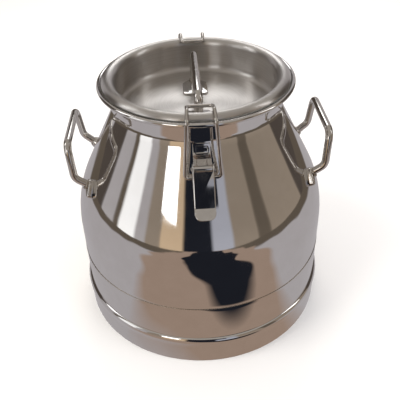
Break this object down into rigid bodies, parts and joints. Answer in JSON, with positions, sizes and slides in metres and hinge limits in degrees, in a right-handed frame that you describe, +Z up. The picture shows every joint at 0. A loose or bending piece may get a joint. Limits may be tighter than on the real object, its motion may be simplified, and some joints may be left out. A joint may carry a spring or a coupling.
{
  "type": "milk can",
  "caption": "Stainless milk can with a shouldered body on a foot ring, rod side handles and a sunk lid held by toggle latches that hook over its rim.",
  "frame": {"origin": "centre of the foot ring's underside, on the floor", "axes": "+Z up along the body's axis; the latches are on -Y (front) and +Y (rear), the side handles on -X and +X"},
  "size_m": [0.358, 0.358, 0.3622],
  "materials": {
    "polished_steel": "mirror-polished stainless steel",
    "satin_steel": "turned and brushed stainless steel",
    "handle_steel": "polished stainless rod and sheet",
    "latch_steel": "polished stainless pressings and wire",
    "weld_steel": "ground weld bead",
    "silicone": "translucent white silicone"
  },
  "bodies": {
    "can": {"lower_shell": "polished_steel", "body_weld_seam": "weld_steel", "upper_shell": "polished_steel", "foot_ring": "polished_steel", "side_handle_left": "handle_steel", "side_handle_right": "handle_steel", "left_front_pad": "handle_steel", "left_rear_pad": "handle_steel", "right_front_pad": "handle_steel", "right_rear_pad": "handle_steel", "front_latch_plate": "latch_steel", "front_latch_pin": "latch_steel", "rear_latch_plate": "latch_steel", "rear_latch_pin": "latch_steel"},
    "lid": {"lid_pan": "satin_steel", "lid_gasket": "silicone", "lid_handle": "handle_steel", "lid_handle_pad_front": "handle_steel", "lid_handle_pad_rear": "handle_steel"},
    "front_lever": {"front_latch_lever": "latch_steel"},
    "front_bail": {"front_latch_bail": "latch_steel"},
    "rear_lever": {"rear_latch_lever": "latch_steel"},
    "rear_bail": {"rear_latch_bail": "latch_steel"}
  },
  "joints": [
    {"name": "lid_lift", "type": "slide", "parent": "can", "child": "lid", "axis": [0, 0, 1], "range_m": [0, 0.04]},
    {"name": "front_lever_hinge", "type": "hinge", "parent": "can", "child": "front_lever", "pos_m": [0, -0.138, 0.297], "axis": [-1, 0, 0], "range_deg": [0, 120.5]},
    {"name": "front_bail_hinge", "type": "hinge", "parent": "front_lever", "child": "front_bail", "pos_m": [0, -0.136, 0.2835], "axis": [-1, 0, 0], "range_deg": [-300.5, 0]},
    {"name": "rear_lever_hinge", "type": "hinge", "parent": "can", "child": "rear_lever", "pos_m": [0, 0.138, 0.297], "axis": [1, 0, 0], "range_deg": [0, 120.5]},
    {"name": "rear_bail_hinge", "type": "hinge", "parent": "rear_lever", "child": "rear_bail", "pos_m": [0, 0.136, 0.2835], "axis": [1, 0, 0], "range_deg": [-300.5, 0]}
  ],
  "couplings": [
    {"joint": "front_lever_hinge", "follows": "lid_lift", "rad_per_m": 52.36},
    {"joint": "front_bail_hinge", "follows": "lid_lift", "rad_per_m": -130.9},
    {"joint": "rear_lever_hinge", "follows": "lid_lift", "rad_per_m": 52.36},
    {"joint": "rear_bail_hinge", "follows": "lid_lift", "rad_per_m": -130.9}
  ]
}
